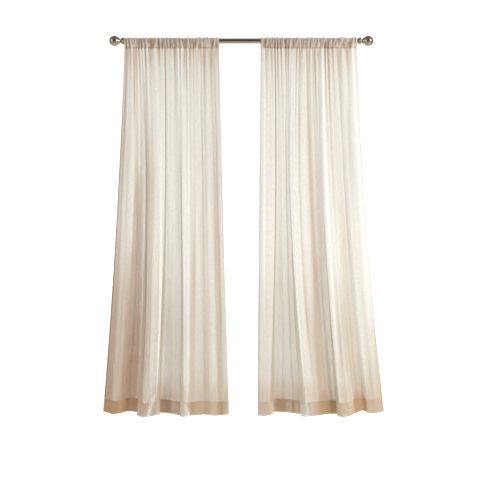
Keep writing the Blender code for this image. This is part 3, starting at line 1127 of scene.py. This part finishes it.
def spun(profile, segments, closed):
    """A shape spun about the X axis from (x, radius) points."""
    shape = bmesh.new()
    points = [shape.verts.new((x, 0, radius)) for x, radius in profile]
    ends = points[1:] + points[:1] if closed else points[1:]
    edges = [shape.edges.new(pair) for pair in zip(points, ends)]
    bmesh.ops.spin(
        shape,
        geom=points + edges,
        cent=(0, 0, 0),
        axis=(1, 0, 0),
        angle=math.tau,
        steps=segments,
        use_merge=True,
    )
    bmesh.ops.remove_doubles(shape, verts=shape.verts, dist=0.002 * MM)
    bmesh.ops.recalc_face_normals(shape, faces=shape.faces)
    return shape


class CURTAIN_OT_turn_rod(bpy.types.Operator):
    """Turn the slim tube that the panels hang on."""

    bl_idname = "curtain.turn_rod"
    bl_label = "Turn Rod"

    def execute(self, context):
        sizes, finish = context.scene.rod_sizes, context.scene.curtain_finish
        bevel, inner = sizes.end_bevel, ROD_RADIUS - sizes.wall
        stops = np.linspace(-ROD_HALF_LENGTH + 4 * bevel, ROD_HALF_LENGTH - 4 * bevel, 40)
        outer = [(-ROD_HALF_LENGTH, ROD_RADIUS - bevel), (-ROD_HALF_LENGTH + bevel, ROD_RADIUS)]
        outer += [(x, ROD_RADIUS) for x in stops]
        outer += [(ROD_HALF_LENGTH - bevel, ROD_RADIUS), (ROD_HALF_LENGTH, ROD_RADIUS - bevel)]
        bore = [(ROD_HALF_LENGTH, inner), (-ROD_HALF_LENGTH, inner)]
        shape = spun([*outer, *bore], segments=72, closed=True)
        rod = new_piece(finished("nickel_rod", shape), kept_material(nickel_material, finish))
        rod.data.set_sharp_from_angle(angle=math.radians(50))
        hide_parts("rod_tube")
        return {"FINISHED"}


def arc(centre, radii, start, end, count):
    """Points on an ellipse's arc, as (distance out, radius), from start to end in radians."""
    angles = np.linspace(start, end, count)
    return [(centre[0] + radii[0] * math.cos(a), centre[1] + radii[1] * math.sin(a)) for a in angles]


def finial_profile(sizes):
    """(distance out from the rod's end, radius) points, from the plug's end to the ball's tip."""
    plug = ROD_RADIUS - sizes.wall - 0.3 * MM
    points = [(-20 * MM, 0), (-20 * MM, plug - 1 * MM), (-19 * MM, plug), (0.3 * MM, plug)]
    rise = sizes.bead_radius - sizes.bead_root
    points += arc((sizes.bead_centre, sizes.bead_root), (sizes.bead_half, rise), math.pi, 0, 21)
    # A small step parts the bead from the waist, and the cup begins with a rounded lip.
    step, sink, lip = 1.2 * MM, 0.8 * MM, 0.9 * MM
    cup = sizes.waist_centre + sizes.waist_half
    waist_start = sizes.bead_centre + sizes.bead_half + step
    drop = sizes.bead_root - sink - sizes.waist_radius
    middle = (waist_start + cup) / 2
    half = (cup - waist_start) / 2
    points.append((waist_start - 0.7 * MM, sizes.bead_root - sink / 2))
    points += arc((middle, sizes.waist_radius + drop), (half, drop), math.pi, math.tau, 15)
    points += arc((cup + lip, sizes.cup_root - 0.6 * MM), (lip, lip), math.pi, math.pi / 2, 5)
    neck = math.asin(sizes.ball_neck / sizes.ball_radius)
    start = (cup + lip, sizes.cup_root + 0.3 * MM)
    meet = (sizes.ball_centre - sizes.ball_radius * math.cos(neck), sizes.ball_neck)
    for share in np.linspace(0, 1, 8)[1:-1]:
        belly = 0.5 * MM * math.sin(math.pi * share)
        points.append(
            (start[0] + (meet[0] - start[0]) * share, start[1] + (meet[1] - start[1]) * share + belly)
        )
    ball = arc((sizes.ball_centre, 0), (-sizes.ball_radius, sizes.ball_radius), neck, math.pi, 48)
    return [*points, *ball[:-1], (sizes.ball_centre + sizes.ball_radius, 0)]


class CURTAIN_OT_turn_finials(bpy.types.Operator):
    """Turn the two ball finials that close the rod's ends."""

    bl_idname = "curtain.turn_finials"
    bl_label = "Turn Finials"

    def execute(self, context):
        sizes, finish = context.scene.rod_sizes, context.scene.curtain_finish
        for side, word in ((-1, "left"), (1, "right")):
            profile = [(side * (ROD_HALF_LENGTH + out), radius) for out, radius in finial_profile(sizes)]
            shape = spun(profile, segments=80, closed=False)
            mesh = finished(f"ball_finial_{word}", shape)
            finial = new_piece(mesh, kept_material(nickel_material, finish))
            finial.data.set_sharp_from_angle(angle=math.radians(50))
            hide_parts(f"finial_{word}")
        return {"FINISHED"}


def area_light(lamp, target):
    """Light a lamp and turn it to its target."""
    light = bpy.data.lights.new(lamp.name, "AREA")
    light.shape = "RECTANGLE"
    light.size, light.size_y = lamp.size
    light.energy, light.color = lamp.watts, lamp.tone
    made = bpy.data.objects.new(lamp.name, light)
    bpy.context.scene.collection.objects.link(made)
    turn = (Vector(target) - Vector(lamp.place)).to_track_quat("-Z", "Y")
    made.matrix_world = Matrix.Translation(lamp.place) @ turn.to_matrix().to_4x4()


class CURTAIN_OT_set_studio(bpy.types.Operator):
    """Set the pale floor and backdrop, the soft lights and the camera."""

    bl_idname = "curtain.set_studio"
    bl_label = "Set Studio"

    def execute(self, context):
        scene, studio = context.scene, context.scene.studio_settings
        self.lay_sweep(studio)
        self.fill_air(scene)
        for lamp in LAMPS:
            area_light(lamp, (0, 0, HEM_Z / 2))
        self.aim_camera(scene, studio)
        scene.view_settings.view_transform = "Standard"
        return {"FINISHED"}

    def lay_sweep(self, studio):
        """One sheet of paper that is floor in front and curves up into the backdrop."""
        floor = HEM_Z - studio.floor_below_hem
        back, bend, wide = studio.backdrop_behind, PAPER_BEND, PAPER_HALF_WIDTH
        profile = [(PAPER_FRONT, floor), (back - bend, floor)]
        for angle in np.linspace(0, math.pi / 2, 17)[1:]:
            profile.append((back - bend + bend * math.sin(angle), floor + bend * (1 - math.cos(angle))))
        profile.append((back, floor + PAPER_HEIGHT))
        shape = bmesh.new()
        points = [shape.verts.new((-wide, y, z)) for y, z in profile]
        edges = [shape.edges.new(pair) for pair in zip(points, points[1:])]
        swept = bmesh.ops.extrude_edge_only(shape, edges=edges)
        moved = [item for item in swept["geom"] if isinstance(item, bmesh.types.BMVert)]
        bmesh.ops.translate(shape, verts=moved, vec=(2 * wide, 0, 0))
        bmesh.ops.recalc_face_normals(shape, faces=shape.faces)
        mesh = finished("paper_sweep", shape)
        mesh.shade_smooth()
        sweep = bpy.data.objects.new("paper_sweep", mesh)
        bpy.context.scene.collection.objects.link(sweep)
        mesh.materials.append(paper_material(studio))

    def fill_air(self, scene):
        """Soft light from all round, weaker from the camera's side."""
        world = bpy.data.worlds.new("studio_air")
        world.use_nodes = True
        nodes, links = world.node_tree.nodes, world.node_tree.links
        air = nodes["Background"]
        air.inputs["Color"].default_value = AIR_TONE
        way = nodes.new("ShaderNodeSeparateXYZ")
        ring = nodes.new("ShaderNodeMapRange")
        ring.interpolation_type = "SMOOTHSTEP"
        ends = zip(("From Min", "From Max", "To Min", "To Max"), (*AIR_TURN, *AIR_STRENGTH))
        for key, value in ends:
            ring.inputs[key].default_value = value
        links.new(nodes.new("ShaderNodeTexCoord").outputs["Generated"], way.inputs["Vector"])
        links.new(way.outputs["Y"], ring.inputs["Value"])
        links.new(ring.outputs["Result"], air.inputs["Strength"])
        scene.world = world

    def aim_camera(self, scene, studio):
        distance = studio.camera_distance
        lens = bpy.data.cameras.new("photo_camera")
        lens.sensor_width = 36
        lens.lens = lens.sensor_width * distance / (PHOTO_PIXELS * METRES_PER_PIXEL)
        camera = bpy.data.objects.new("photo_camera", lens)
        scene.collection.objects.link(camera)
        across = (PHOTO_PIXELS / 2 - ROD_MIDDLE_PIXEL[0]) * METRES_PER_PIXEL
        down = (PHOTO_PIXELS / 2 - ROD_MIDDLE_PIXEL[1]) * METRES_PER_PIXEL
        camera.location = (across, -distance, -down)
        camera.rotation_euler = (math.pi / 2, 0, 0)
        scene.camera = camera


STEPS = (
    CURTAIN_OT_turn_rod,
    CURTAIN_OT_turn_finials,
    CURTAIN_OT_hang_panels,
    CURTAIN_OT_sew_seams,
    CURTAIN_OT_set_studio,
)


class CURTAIN_PT_maker(bpy.types.Panel):
    """Lists the curtain's sizes, finish and making steps."""

    bl_idname = "CURTAIN_PT_maker"
    bl_label = "Sheer Curtain Pair"
    bl_space_type = "VIEW_3D"
    bl_region_type = "UI"
    bl_category = "Curtain"

    def draw(self, context):
        layout = self.layout
        for settings in SETTINGS:
            group = getattr(context.scene, settings)
            box = layout.box()
            for name in type(group).__annotations__:
                box.prop(group, name)
        for step in STEPS:
            layout.operator(step.bl_idname)


SETTINGS = {
    "curtain_sizes": CurtainSizes,
    "rod_sizes": RodSizes,
    "curtain_finish": CurtainFinish,
    "studio_settings": StudioSettings,
}


def register():
    for kind in (*SETTINGS.values(), *STEPS, CURTAIN_PT_maker):
        bpy.utils.register_class(kind)
    for name, kind in SETTINGS.items():
        setattr(bpy.types.Scene, name, bpy.props.PointerProperty(type=kind))


def unregister():
    for name in SETTINGS:
        delattr(bpy.types.Scene, name)
    for kind in reversed((*SETTINGS.values(), *STEPS, CURTAIN_PT_maker)):
        bpy.utils.unregister_class(kind)


def main():
    register()
    bpy.ops.curtain.turn_rod()
    bpy.ops.curtain.turn_finials()
    bpy.ops.curtain.hang_panels()
    bpy.ops.curtain.sew_seams()
    bpy.ops.curtain.set_studio()


if __name__ == "__main__":
    main()
